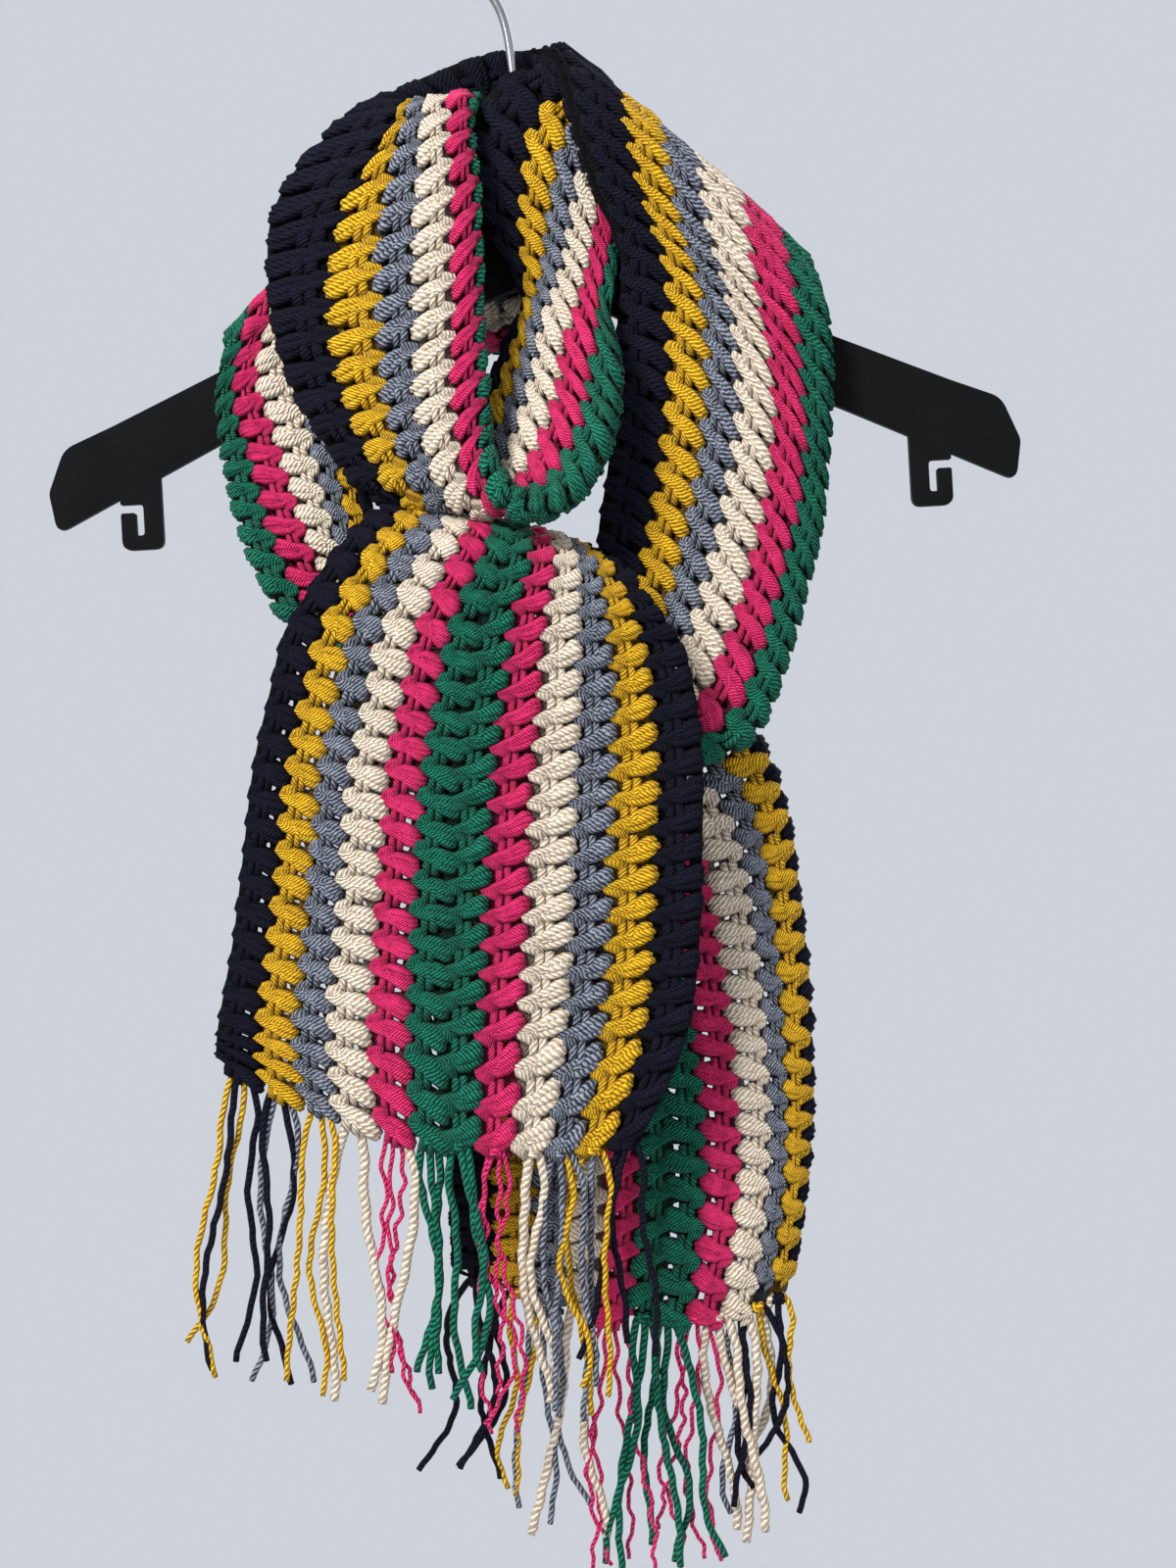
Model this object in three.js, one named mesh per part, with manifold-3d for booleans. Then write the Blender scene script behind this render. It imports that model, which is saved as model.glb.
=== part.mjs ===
// A striped crochet scarf, folded lengthwise, wound once round the neck of a slim clothes hanger and
// tied in front like a cravat, with its two fringed ends hanging open.
// Millimetres, +Z up, the front faces -Y. The origin is the underside of the hook's crown.
import * as THREE from "three";
import Module from "manifold-3d";
import { mergeVertices } from "three/addons/utils/BufferGeometryUtils.js";

const wasm = await Module();
wasm.setup();

// ---- driving dimensions -------------------------------------------------------------------------
const HOOK_RISE = 144;        // hanger's shoulder peak to the underside of the hook's crown
const HOOK_RADIUS = 21;       // centre line of the hook's bend
const WIRE_RADIUS = 2;
const HANGER_TILT = 3.2;      // degrees, left end lower
const HANGER_THICKNESS = 6;
const HANGER_BEVEL = 1;
const PEAK_X = 4.5;           // shoulder peak beside the hook's plumb line

const WALL = 4;               // thickness of the crocheted cloth
const RIB = 0.7;              // how far the middle of a row stands above its seams
const SLIT = 3;               // space between the two layers of the folded scarf
const STEP = 16;              // distance between two sections along the cloth
const SEAM_GAP = 0.4;         // space left between neighbouring stretches
const LAYER = (WALL + SLIT) / 2;   // middle of a layer to the middle of the folded scarf

const FRINGE_STRIP = 4;       // height of the strip of knots along a fringed edge
const STRAND_RADIUS = 1.5;
const STRAND_SIDES = 3;
const STRAND_POINTS = 7;
const STRAND_DEPTH = 2.6;     // strands hang by turns this far in front of the edge and behind it
const STRAND_SWAY = 3.2;      // how far a strand waves to each side
const STRAND_WAVES = 1.3;     // waves along a strand
const STRAND_SHIFT = 0.11;    // of a wave, from one strand to the next
const SHORTEST_STRAND = 0.91; // of its row's length
const LENGTH_SHARES = [0, 0.5, 1, 0.25, 0.75];   // how strands take turns down to the shortest

// Twelve rows of crochet, two of each yarn, run the whole length of the scarf.
// yarn, width of its row in mm, colour
const ROWS = [
  { yarn: "navy", width: 20, colour: 0x14152b },
  { yarn: "gold", width: 19, colour: 0xc79a1a },
  { yarn: "grey", width: 16, colour: 0x6b6f78 },
  { yarn: "cream", width: 20, colour: 0xe8dcc5 },
  { yarn: "pink", width: 19, colour: 0xd8286a },
  { yarn: "green", width: 17, colour: 0x0f7a5a },
];

// ---- where the cloth runs -----------------------------------------------------------------------
// Each line is one section across the cloth, measured from the hanger's shoulder peak line.
// A folded section is given by its navy edges, the seam between grey and cream, and its green fold;
// an open section by its left navy edge, its green middle and its right navy edge.
const railPoints = ([nx, ny, nz, mx, my, mz, gx, gy, gz]) =>
  [new THREE.Vector3(nx, ny, nz), new THREE.Vector3(mx, my, mz), new THREE.Vector3(gx, gy, gz)];

// knot -> up the left of the front and over the left shoulder
const LEFT_WRAP = [
  [4, -11, -178, -23, -12, -195, -57, -11, -212],
  [-23, -11, -170, -45, -12, -182, -81, -11, -199],
  [-45, -11, -160, -64, -12, -170, -100, -11, -182],
  [-60, -11, -148, -76, -12, -155, -110, -11, -164],
  [-64, -11, -131, -82, -12, -138, -117, -11, -147],
  [-61, -11, -108, -87, -12, -118, -122, -11, -130],
  [-53, -11, -81, -92, -12, -94, -126, -11, -112],
  [-46, -11, -49, -99, -12, -68, -130, -11, -92],
  [-41, -11, -25, -95, -11, -44, -131, -11, -75],
  [-36, -10, -2, -86, -10, -23, -124, -9, -57],
  [-32, -2, 9, -75, 0, -12, -111, 1, -43],
  [-26, 6, 11, -63, 9, -19, -90, 11, -43],
].map(railPoints);
// across the back of the neck, next to the hanger
const NECK_BACK_INNER = [
  [-17, 10, 11, -42, 12, -27, -63, 17, -47],
  [-8, 12, 12, -20, 13, -31, -31, 21, -51],
  [0, 12, 14, 0, 13, -34, 1, 22, -51],
].map(railPoints);
// up over the right of the hook, down the front and forward into the bottom of the loop
const LOOP_RIGHT = [
  [9, 12, 41, 22, 13, -7, 30, 17, -40],
  [14, 6, 60, 35, 7, 26, 52, 9, -9],
  [13, -3, 63, 37, -1, 34, 54, 2, -1],
  [6, -10, 61, 35, -9, 32, 52, -5, -2],
  [-6, -13, 48, 30, -14, 18, 47, -11, -10],
  [-10, -13, 24, 27, -15, -4, 43, -16, -25],
  [-10, -12, -1, 25, -15, -21, 44, -26, -47],
  [4, -8, -28, 21, -16, -39, 47, -34, -68],
  [14, -6, -36, 18, -17, -48, 47, -38, -85],
  [0, -8, -63, 14, -19, -71, 44, -43, -102],
  [-8, -10, -74, 11, -20, -82, 39, -47, -116],
  [-19, -11, -95, 4, -23, -105, 27, -53, -133],
].map(railPoints);
// out of the bottom of the loop, up the left of the front and back over the top
const LOOP_LEFT = [
  [-33, -14, -115, -4, -27, -126, 10, -55, -139],
  [-49, -18, -126, -17, -33, -135, -3, -50, -130],
  [-64, -23, -123, -31, -37, -129, -10, -43, -115],
  [-78, -25, -110, -40, -38, -109, -13, -39, -98],
  [-94, -25, -87, -46, -37, -85, -15, -37, -73],
  [-104, -24, -61, -47, -36, -58, -16, -35, -45],
  [-108, -24, -32, -48, -35, -28, -17, -34, -16],
  [-107, -22, -6, -48, -33, 1, -19, -31, 11],
  [-98, -19, 14, -49, -29, 22, -22, -27, 31],
  [-84, -14, 31, -48, -24, 36, -22, -25, 42],
  [-70, -8, 45, -45, -13, 45, -20, -11, 51],
  [-55, -1, 57, -38, -2, 45, -18, 5, 42],
  [-39, 7, 68, -28, 9, 49, -12, 14, 40],
  [-21, 15, 78, -13, 18, 51, -1, 21, 34],
].map(railPoints);
// across the back of the neck, outside the inner turn
const NECK_BACK_OUTER = [
  [-1, 21, 84, 5, 24, 50, 14, 26, 22],
  [8, 17, 83, 26, 25, 41, 39, 28, 3],
].map(railPoints);
// over the right shoulder and down to the knot
const RIGHT_WRAP = [
  [16, 9, 79, 47, 20, 34, 68, 25, -10],
  [22, -1, 74, 68, 12, 32, 102, 19, -11],
  [28, -14, 61, 80, 1, 27, 128, 8, -15],
  [32, -23, 42, 83, -10, 14, 137, -3, -31],
  [40, -27, 14, 89, -16, -15, 142, -13, -56],
  [53, -22, -21, 98, -17, -45, 143, -14, -92],
  [53, -15, -50, 102, -17, -75, 141, -14, -119],
  [52, -14, -79, 101, -17, -104, 138, -15, -142],
  [49, -14, -113, 96, -17, -133, 132, -17, -166],
  [44, -15, -146, 88, -20, -167, 124, -21, -193],
  [42, -18, -167, 81, -24, -188, 117, -25, -213],
  [36, -24, -184, 70, -30, -211, 104, -30, -238],
  [20, -29, -192, 46, -33, -224, 73, -32, -250],
].map(railPoints);
// leftward across the back panel, round behind it and up through the neck
const KNOT = [
  [-9, -31, -199, 7, -33, -227, 20, -32, -254],
  [-35, -31, -206, -26, -33, -229, -17, -32, -254],
  [-55, -29, -212, -51, -31, -233, -42, -30, -255],
  [-69, -24, -218, -66, -26, -237, -62, -25, -256],
  [-75, -14, -221, -74, -15, -240, -71, -14, -258],
  [-68, -4, -217, -65, -4, -237, -59, -3, -258],
  [-55, 2, -210, -46, 4, -230, -33, 5, -254],
  [-42, 4, -196, -27, 6, -214, -6, 6, -234],
  [-37, 5, -180, -12, 7, -192, 17, 6, -205],
].map(railPoints);
const FRONT_PANEL = [
  [-38, 5, -165, -3, 6, -172, 25, 5, -176],
  [-42, -1, -149, -1, 0, -155, 32, 0, -163],
  [-51, -13, -140, 0, -14, -148, 35, -12, -157],
  [-59, -27, -139, 1, -30, -149, 41, -26, -161],
  [-68, -41, -147, 1, -44, -153, 53, -39, -168],
  [-76, -48, -156, -1, -52, -162, 60, -46, -177],
  [-87, -50, -173, -7, -54, -176, 68, -50, -186],
  [-99, -49, -193, -13, -53, -195, 76, -50, -197],
  [-105, -47, -217, -17, -50, -219, 82, -49, -217],
  [-113, -44, -251, -22, -47, -251, 86, -46, -250],
  [-118, -41, -290, -25, -44, -291, 86, -43, -290],
  [-123, -39, -330, -27, -42, -330, 85, -41, -330],
  [-130, -37, -369, -29, -40, -374, 79, -39, -373],
  [-131, -37, -382, -28, -39, -420, 59, -38, -419],
].map(railPoints);
const BACK_PANEL = [
  [-24, -4, -226, 8, -12, -232, 70, -10, -196],
  [-30, -6, -260, 26, -13, -263, 100, -10, -222],
  [-37, -6, -291, 51, -12, -296, 121, -8, -260],
  [-37, -6, -341, 61, -10, -343, 131, -4, -318],
  [-32, -5, -395, 69, -8, -395, 135, -1, -386],
  [-29, -4, -445, 72, -6, -447, 134, 1, -436],
  [-27, -4, -484, 66, -5, -505, 127, 3, -495],
].map(railPoints);

// ---- surfaces -----------------------------------------------------------------------------------
// A run of sections becomes a surface: `along` goes from its first section to its last,
// `across` from the first edge (0) to the last (1), bending through the middle point.
const NUDGE = 0.02;
const SAMPLES = 40;           // per section, where the cloth is measured
const MEASURED_AT = [0.1, 0.5, 0.9];

class Cloth {
  constructor(sections) {
    this.rails = [0, 1, 2].map((side) =>
      new THREE.CatmullRomCurve3(sections.map((points) => points[side]), false, "centripetal"));
    this.last = sections.length - 1;
  }
  point(along, across) {
    const [first, middle, end] = this.rails.map((rail) => rail.getPoint(along / this.last));
    return first.multiplyScalar((1 - across) * (1 - 2 * across))
      .addScaledVector(middle, 4 * across * (1 - across))
      .addScaledVector(end, across * (2 * across - 1));
  }
  // unit vectors: the way on, the way across and out of the front face
  frame(along, across) {
    const before = Math.max(0, along - NUDGE);
    const after = Math.min(this.last, along + NUDGE);
    const onward = this.point(after, across).sub(this.point(before, across)).normalize();
    const [left, right] = [this.point(along, across - NUDGE), this.point(along, across + NUDGE)];
    const sideways = right.sub(left).normalize();
    return { onward, sideways, out: onward.clone().cross(sideways).normalize() };
  }
  // values of `along` from one section to another, a given distance apart on the middle of the cloth
  stations(from, to, step, gap) {
    const samples = SAMPLES * Math.max(1, to - from);
    const lengths = [0];
    for (let i = 1; i <= samples; i++) {
      const start = from + ((to - from) * (i - 1)) / samples;
      const stop = from + ((to - from) * i) / samples;
      let length = 0;
      MEASURED_AT.forEach((across) => {
        length += this.point(start, across).distanceTo(this.point(stop, across)) / MEASURED_AT.length;
      });
      lengths.push(lengths[i - 1] + length);
    }
    const total = lengths[samples];
    const count = Math.max(2, Math.round(total / step));
    const stations = [];
    for (let i = 0; i <= count; i++) {
      const wanted = Math.min(Math.max((total * i) / count, gap), total - gap);
      let k = 1;
      while (k < samples && lengths[k] < wanted) k++;
      const share = (wanted - lengths[k - 1]) / Math.max(lengths[k] - lengths[k - 1], 1e-9);
      stations.push(from + ((to - from) * (k - 1 + share)) / samples);
    }
    return stations;
  }
}

// Where the rows' seams lie across a folded section, from the navy edges (0) to the green fold (1);
// the middle point of a section is the seam between grey and cream.
function foldedSeams() {
  const sum = (rows) => rows.reduce((total, row) => total + row.width, 0);
  const outer = ROWS.slice(0, 3);
  const inner = ROWS.slice(3);
  const seams = [0];
  outer.forEach((row) => seams.push(seams.at(-1) + (0.5 * row.width) / sum(outer)));
  inner.forEach((row) => seams.push(seams.at(-1) + (0.5 * row.width) / sum(inner)));
  return seams;
}
// The same across an open section, from one navy edge (0) to the other (1).
function openSeams() {
  const half = ROWS.reduce((total, row) => total + row.width, 0);
  const seams = [0];
  [...ROWS, ...[...ROWS].reverse()].forEach((row) => {
    seams.push(seams.at(-1) + row.width / (2 * half));
  });
  return seams;
}
// Each row is a low rib: a seam, its raised middle, and the next seam.
function ribProfile(seams) {
  const profile = [];
  seams.forEach((seam, i) => {
    profile.push({ across: seam, height: 0 });
    if (i + 1 < seams.length) profile.push({ across: (seam + seams[i + 1]) / 2, height: RIB });
  });
  return profile;
}

// ---- solids -------------------------------------------------------------------------------------
// A wall is a run of sections, each with a chain of outer points and a chain of inner points.
function wallGeometry(sections) {
  const points = [];
  const rings = sections.map(({ outer, inner }) => {
    const ring = [...outer, ...inner.slice().reverse()];
    const start = points.length;
    points.push(...ring);
    return start;
  });
  const outerCount = sections[0].outer.length;
  const innerCount = sections[0].inner.length;
  const ringCount = outerCount + innerCount;
  const triangles = [];
  for (let i = 0; i + 1 < rings.length; i++) {
    for (let k = 0; k < ringCount; k++) {
      const next = (k + 1) % ringCount;
      const [a, b] = [rings[i] + k, rings[i] + next];
      const [c, d] = [rings[i + 1] + k, rings[i + 1] + next];
      triangles.push([a, b, d], [a, d, c]);
    }
  }
  const innerIndex = (k) => ringCount - 1 - k;
  const capTriangles = [];
  let [o, n] = [0, 0];
  while (o + 1 < outerCount || n + 1 < innerCount) {
    const outerNext = (o + 1) / (outerCount - 1);
    const innerNext = (n + 1) / (innerCount - 1);
    if (n + 1 >= innerCount || (o + 1 < outerCount && outerNext <= innerNext)) {
      capTriangles.push([o, o + 1, innerIndex(n)]);
      o++;
    } else {
      capTriangles.push([o, innerIndex(n + 1), innerIndex(n)]);
      n++;
    }
  }
  const lastRing = rings.at(-1);
  capTriangles.forEach(([a, b, c]) => {
    triangles.push([a, c, b], [lastRing + a, lastRing + b, lastRing + c]);
  });
  return closedGeometry(points, triangles);
}

// A closed geometry with its faces turned outwards.
function closedGeometry(points, triangles) {
  let volume = 0;
  triangles.forEach(([a, b, c]) => {
    volume += points[a].dot(points[b].clone().cross(points[c])) / 6;
  });
  const index = triangles.flatMap(([a, b, c]) => (volume > 0 ? [a, b, c] : [a, c, b]));
  const geometry = new THREE.BufferGeometry();
  const positions = points.flatMap((point) => [point.x, point.y, point.z]);
  geometry.setAttribute("position", new THREE.Float32BufferAttribute(positions, 3));
  geometry.setIndex(index);
  geometry.computeVertexNormals();
  return geometry;
}

// Where a plain face has its points, from one edge (0) to the other (1).
const INNER_SHARES = [0, 0.18, 0.36, 0.52, 0.68, 0.84, 1];
const REVERSE_SHARES = [0, 0.125, 0.25, 0.375, 0.5, 0.625, 0.75, 0.875, 1];
const FOLD_DEGREES = [45, 90, 135];    // points round the green fold

// One section of the folded scarf: a hairpin of two layers joined at the green fold.
function hairpin(cloth, along) {
  const ribs = ribProfile(foldedSeams());
  const offset = (across, distance) =>
    cloth.point(along, across).addScaledVector(cloth.frame(along, across).out, distance);
  const skin = LAYER + WALL / 2;
  const outer = ribs.map(({ across, height }) => offset(across, skin + height));
  const { sideways, out } = cloth.frame(along, 1);
  FOLD_DEGREES.forEach((degrees) => {
    const angle = THREE.MathUtils.degToRad(degrees);
    outer.push(cloth.point(along, 1)
      .addScaledVector(out, skin * Math.cos(angle))
      .addScaledVector(sideways, skin * Math.sin(angle)));
  });
  outer.push(...ribs.slice().reverse().map(({ across, height }) => offset(across, -skin - height)));
  const inside = LAYER - WALL / 2;
  const inner = INNER_SHARES.map((across) => offset(across, inside));
  inner.push(...INNER_SHARES.slice().reverse().map((across) => offset(across, -inside)));
  return { outer, inner };
}

// One section of an open end: a single layer, ribbed on its face and plain behind.
function sheet(cloth, along) {
  const ribs = ribProfile(openSeams());
  const offset = (across, distance) =>
    cloth.point(along, across).addScaledVector(cloth.frame(along, across).out, distance);
  const outer = ribs.map(({ across, height }) => offset(across, WALL / 2 + height));
  const inner = REVERSE_SHARES.map((across) => offset(across, -WALL / 2));
  return { outer, inner };
}

function stretch(cloth, from, to, makeSection) {
  const stations = cloth.stations(from, to, STEP, SEAM_GAP / 2);
  return wallGeometry(stations.map((along) => makeSection(cloth, along)));
}

// ---- manifold helpers ---------------------------------------------------------------------------
function toManifold(geometry) {
  const bare = geometry.clone();
  const extras = Object.keys(bare.attributes).filter((name) => name !== "position");
  extras.forEach((name) => bare.deleteAttribute(name));
  const merged = mergeVertices(bare, 1e-4);
  return new wasm.Manifold(new wasm.Mesh({
    numProp: 3,
    vertProperties: new Float32Array(merged.attributes.position.array),
    triVerts: new Uint32Array(merged.index.array),
  }));
}
function fromManifold(solid) {
  const mesh = solid.getMesh();
  const geometry = new THREE.BufferGeometry();
  geometry.setAttribute("position", new THREE.BufferAttribute(new Float32Array(mesh.vertProperties), 3));
  geometry.setIndex(new THREE.BufferAttribute(new Uint32Array(mesh.triVerts), 1));
  geometry.computeVertexNormals();
  return geometry;
}

// ---- fringe -------------------------------------------------------------------------------------
// Strands of each row from the first navy edge to the last: how many, how long, how far they lean
const MOST_STRANDS = 4;
const FRONT_FRINGE = [
  { strands: 4, length: 136, lean: 2 },
  { strands: 3, length: 124, lean: -14 },
  { strands: 3, length: 132, lean: -8 },
  { strands: 2, length: 130, lean: 0 },
  { strands: 3, length: 122, lean: 2 },
  { strands: 4, length: 118, lean: 4 },
  { strands: 2, length: 112, lean: 8 },
  { strands: 4, length: 122, lean: 6 },
  { strands: 2, length: 126, lean: 0 },
  { strands: 4, length: 118, lean: 6 },
  { strands: 3, length: 120, lean: -4 },
  { strands: 3, length: 92, lean: -8 },
];
const BACK_FRINGE = [
  { strands: 3, length: 88, lean: -4 },
  { strands: 3, length: 90, lean: -2 },
  { strands: 3, length: 104, lean: 2 },
  { strands: 2, length: 108, lean: 0 },
  { strands: 4, length: 118, lean: -2 },
  { strands: 3, length: 116, lean: -4 },
  { strands: 3, length: 112, lean: 14 },
  { strands: 4, length: 112, lean: -6 },
  { strands: 3, length: 108, lean: 10 },
  { strands: 2, length: 88, lean: 2 },
  { strands: 2, length: 86, lean: 2 },
  { strands: 3, length: 72, lean: -10 },
];

// A three-sided strand along its points, closed at both ends.
function strandGeometry(path) {
  const points = [];
  path.forEach((point) => {
    for (let k = 0; k < STRAND_SIDES; k++) {
      const angle = (2 * Math.PI * k) / STRAND_SIDES;
      const [x, y] = [STRAND_RADIUS * Math.cos(angle), STRAND_RADIUS * Math.sin(angle)];
      points.push(point.clone().add(new THREE.Vector3(x, y, 0)));
    }
  });
  const triangles = [];
  for (let i = 0; i + 1 < path.length; i++) {
    const [here, beyond] = [i * STRAND_SIDES, (i + 1) * STRAND_SIDES];
    for (let k = 0; k < STRAND_SIDES; k++) {
      const next = (k + 1) % STRAND_SIDES;
      triangles.push([here + k, here + next, beyond + next], [here + k, beyond + next, beyond + k]);
    }
  }
  const end = (path.length - 1) * STRAND_SIDES;
  triangles.push([0, 2, 1], [end, end + 1, end + 2]);
  return closedGeometry(points, triangles);
}

// A point or a section moved straight down.
const lowered = (point, distance) => point.clone().add(new THREE.Vector3(0, 0, -distance));
const loweredSection = ({ outer, inner }, distance) => ({
  outer: outer.map((point) => lowered(point, distance)),
  inner: inner.map((point) => lowered(point, distance)),
});

// The path of one strand from its root; `turn` numbers the strands, so that neighbours differ.
function strandPath(root, turn, length, lean) {
  const reach = length * (1 - (1 - SHORTEST_STRAND) * LENGTH_SHARES[turn % LENGTH_SHARES.length]);
  const depth = turn % 2 ? STRAND_DEPTH : -STRAND_DEPTH;
  const path = [];
  for (let k = 0; k < STRAND_POINTS; k++) {
    const share = k / (STRAND_POINTS - 1);
    const wave = Math.sin(2 * Math.PI * (STRAND_WAVES * share + STRAND_SHIFT * turn));
    const x = lean * share + STRAND_SWAY * wave * share;
    const y = depth * Math.min(1, 3 * share);
    path.push(root.clone().add(new THREE.Vector3(x, y, -reach * share)));
  }
  return path;
}

// The strip of knots just below an open end, with the strands hanging from it.
function fringeGeometry(cloth, table) {
  const along = cloth.last;
  const edge = sheet(cloth, along);
  const strip = [SEAM_GAP, SEAM_GAP + FRINGE_STRIP].map((distance) => loweredSection(edge, distance));
  let solid = toManifold(wallGeometry(strip));
  const seams = openSeams();
  table.forEach(({ strands, length, lean }, row) => {
    for (let i = 0; i < strands; i++) {
      const across = seams[row] + ((seams[row + 1] - seams[row]) * (i + 0.5)) / strands;
      const root = lowered(cloth.point(along, across), SEAM_GAP + FRINGE_STRIP / 2);
      const path = strandPath(root, row * MOST_STRANDS + i, length, lean);
      solid = solid.add(toManifold(strandGeometry(path)));
    }
  });
  return fromManifold(solid);
}

// ---- hanger -------------------------------------------------------------------------------------
// One shoulder, from the peak outwards, in the hanger's own plane: x outwards, z up from the peak
const ARM_TOP = [
  [0, -1], [12, -5], [193, -84.7], [208, -91], [218, -99], [222.5, -110], [224, -123], [221, -132.5],
];
// The strap tab under the shoulder, with a slot that lets a strap in from outside and down
const TAB = [
  [191.5, -118], [191.5, -121], [181, -121], [181, -135.5], [184.8, -135.5], [184.8, -125],
  [191.5, -125], [191.5, -137], [189.5, -140.5], [186.5, -142], [177.5, -142], [174.5, -140.5],
  [172.5, -137], [172.5, -109.2],
];
const ARM_UNDER = [[145, -96], [70, -61], [24, -39], [0, -30]];

function hangerGeometry() {
  const right = [...ARM_TOP, ...TAB, ...ARM_UNDER];
  const left = right.slice(1, -1).reverse().map(([x, z]) => [-x, z]);
  const shape = new THREE.Shape([...right, ...left].map(([x, z]) => new THREE.Vector2(x, z)));
  const geometry = new THREE.ExtrudeGeometry(shape, {
    depth: HANGER_THICKNESS - 2 * HANGER_BEVEL, steps: 1,
    bevelEnabled: true, bevelSegments: 1,
    bevelThickness: HANGER_BEVEL, bevelSize: HANGER_BEVEL, bevelOffset: -HANGER_BEVEL,
  });
  geometry.translate(0, 0, HANGER_BEVEL - HANGER_THICKNESS / 2);
  geometry.rotateX(Math.PI / 2);
  return fromManifold(toManifold(geometry));
}

// The wire goes up from the peak leaning to the left, then bends over to the right in a round crook.
const HOOK_STEM = [[4.3, 4], [3, 30], [0.8, 66], [-5, 96]];
const HOOK_CROOK = { from: 195, to: -45, step: 20 };   // degrees round the middle of the bend
const WIRE_SIDES = 8;
const WIRE_STEPS = 30;

function hookGeometry() {
  const points = [...HOOK_STEM];
  const centre = HOOK_RISE - HOOK_RADIUS + WIRE_RADIUS;
  for (let degrees = HOOK_CROOK.from; degrees >= HOOK_CROOK.to; degrees -= HOOK_CROOK.step) {
    const angle = THREE.MathUtils.degToRad(degrees);
    points.push([HOOK_RADIUS * Math.cos(angle), centre + HOOK_RADIUS * Math.sin(angle)]);
  }
  const path = new THREE.CatmullRomCurve3(
    points.map(([x, z]) => new THREE.Vector3(x, 0, z)), false, "centripetal");
  const round = new THREE.Shape();
  for (let k = 0; k < WIRE_SIDES; k++) {
    const angle = (2 * Math.PI * k) / WIRE_SIDES;
    const [x, y] = [WIRE_RADIUS * Math.cos(angle), WIRE_RADIUS * Math.sin(angle)];
    if (k === 0) round.moveTo(x, y);
    else round.lineTo(x, y);
  }
  round.closePath();
  return new THREE.ExtrudeGeometry(round, {
    steps: WIRE_STEPS, extrudePath: path, bevelEnabled: false,
  });
}

// ---- the part -----------------------------------------------------------------------------------
function material(colour, roughness = 0.95, metalness = 0) {
  return new THREE.MeshStandardMaterial({ color: colour, roughness, metalness });
}
const colourOf = (yarn) => ROWS.find((row) => row.yarn === yarn).colour;

const scarf = new THREE.Group();
function addPiece(parent, name, geometry, finish) {
  const mesh = new THREE.Mesh(geometry, finish);
  mesh.name = name;
  parent.add(mesh);
  return mesh;
}

// The folded stretches are cut from one long strip, so that neighbours meet face to face.
const foldedRuns = [
  { name: "left_wrap", sections: LEFT_WRAP, colour: "cream" },
  { name: "neck_back_inner", sections: NECK_BACK_INNER, colour: "grey" },
  { name: "neck_loop_right", sections: LOOP_RIGHT, colour: "gold" },
  { name: "neck_loop_left", sections: LOOP_LEFT, colour: "pink" },
  { name: "neck_back_outer", sections: NECK_BACK_OUTER, colour: "navy" },
  { name: "right_wrap", sections: RIGHT_WRAP, colour: "gold" },
  { name: "knot_wrap", sections: KNOT, colour: "green" },
];
const strip = new Cloth(foldedRuns.flatMap(({ sections }) => sections));
let firstSection = 0;
foldedRuns.forEach(({ name, sections, colour }) => {
  const lastSection = Math.min(firstSection + sections.length, strip.last);
  const geometry = stretch(strip, firstSection, lastSection, hairpin);
  addPiece(scarf, name, geometry, material(colourOf(colour)));
  firstSection = lastSection;
});
const frontCloth = new Cloth(FRONT_PANEL);
const backCloth = new Cloth(BACK_PANEL);
const openEnds = [
  { name: "front_panel", fringe: "fringe_front", cloth: frontCloth, table: FRONT_FRINGE, colour: "cream" },
  { name: "back_panel", fringe: "fringe_back", cloth: backCloth, table: BACK_FRINGE, colour: "pink" },
];
openEnds.forEach(({ name, fringe, cloth, table, colour }) => {
  addPiece(scarf, name, stretch(cloth, 0, cloth.last, sheet), material(colourOf(colour)));
  addPiece(scarf, fringe, fringeGeometry(cloth, table), material(colourOf("navy")));
});

const hanger = new THREE.Group();
const body = addPiece(hanger, "hanger_body", hangerGeometry(), material(0x0b0b0c, 0.9));
body.position.set(PEAK_X, 0, 0);
body.rotation.y = -THREE.MathUtils.degToRad(HANGER_TILT);
addPiece(hanger, "hanger_hook", hookGeometry(), material(0xb8bcc0, 0.3, 1));

const part = new THREE.Group();
part.add(scarf, hanger);
part.position.z = -HOOK_RISE;
export default part;
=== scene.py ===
"""A striped crochet scarf wound round a slim flocked clothes hanger, made in yarn."""

import math

import bpy
import numpy as np
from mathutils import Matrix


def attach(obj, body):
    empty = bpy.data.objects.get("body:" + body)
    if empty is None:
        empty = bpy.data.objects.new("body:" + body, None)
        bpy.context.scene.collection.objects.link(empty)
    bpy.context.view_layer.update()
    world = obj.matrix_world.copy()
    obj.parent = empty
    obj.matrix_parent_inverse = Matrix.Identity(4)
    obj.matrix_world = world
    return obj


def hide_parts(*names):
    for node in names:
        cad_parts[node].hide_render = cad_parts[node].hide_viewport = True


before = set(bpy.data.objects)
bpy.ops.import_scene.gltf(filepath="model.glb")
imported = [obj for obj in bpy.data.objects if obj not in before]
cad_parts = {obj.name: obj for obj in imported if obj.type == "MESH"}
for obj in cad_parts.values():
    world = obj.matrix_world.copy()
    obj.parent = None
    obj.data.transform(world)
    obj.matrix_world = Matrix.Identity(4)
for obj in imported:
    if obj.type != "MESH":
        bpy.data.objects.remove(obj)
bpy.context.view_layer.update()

# ---- sizes, in millimetres ----------------------------------------------------------------------
HOOK_RISE = 144          # hanger's shoulder peak to the underside of the hook's crown
HOOK_RADIUS = 21
WIRE_RADIUS = 2
HANGER_TILT = 3.2        # degrees, left end lower
HANGER_THICKNESS = 6
PEAK_X = 4.5

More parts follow.
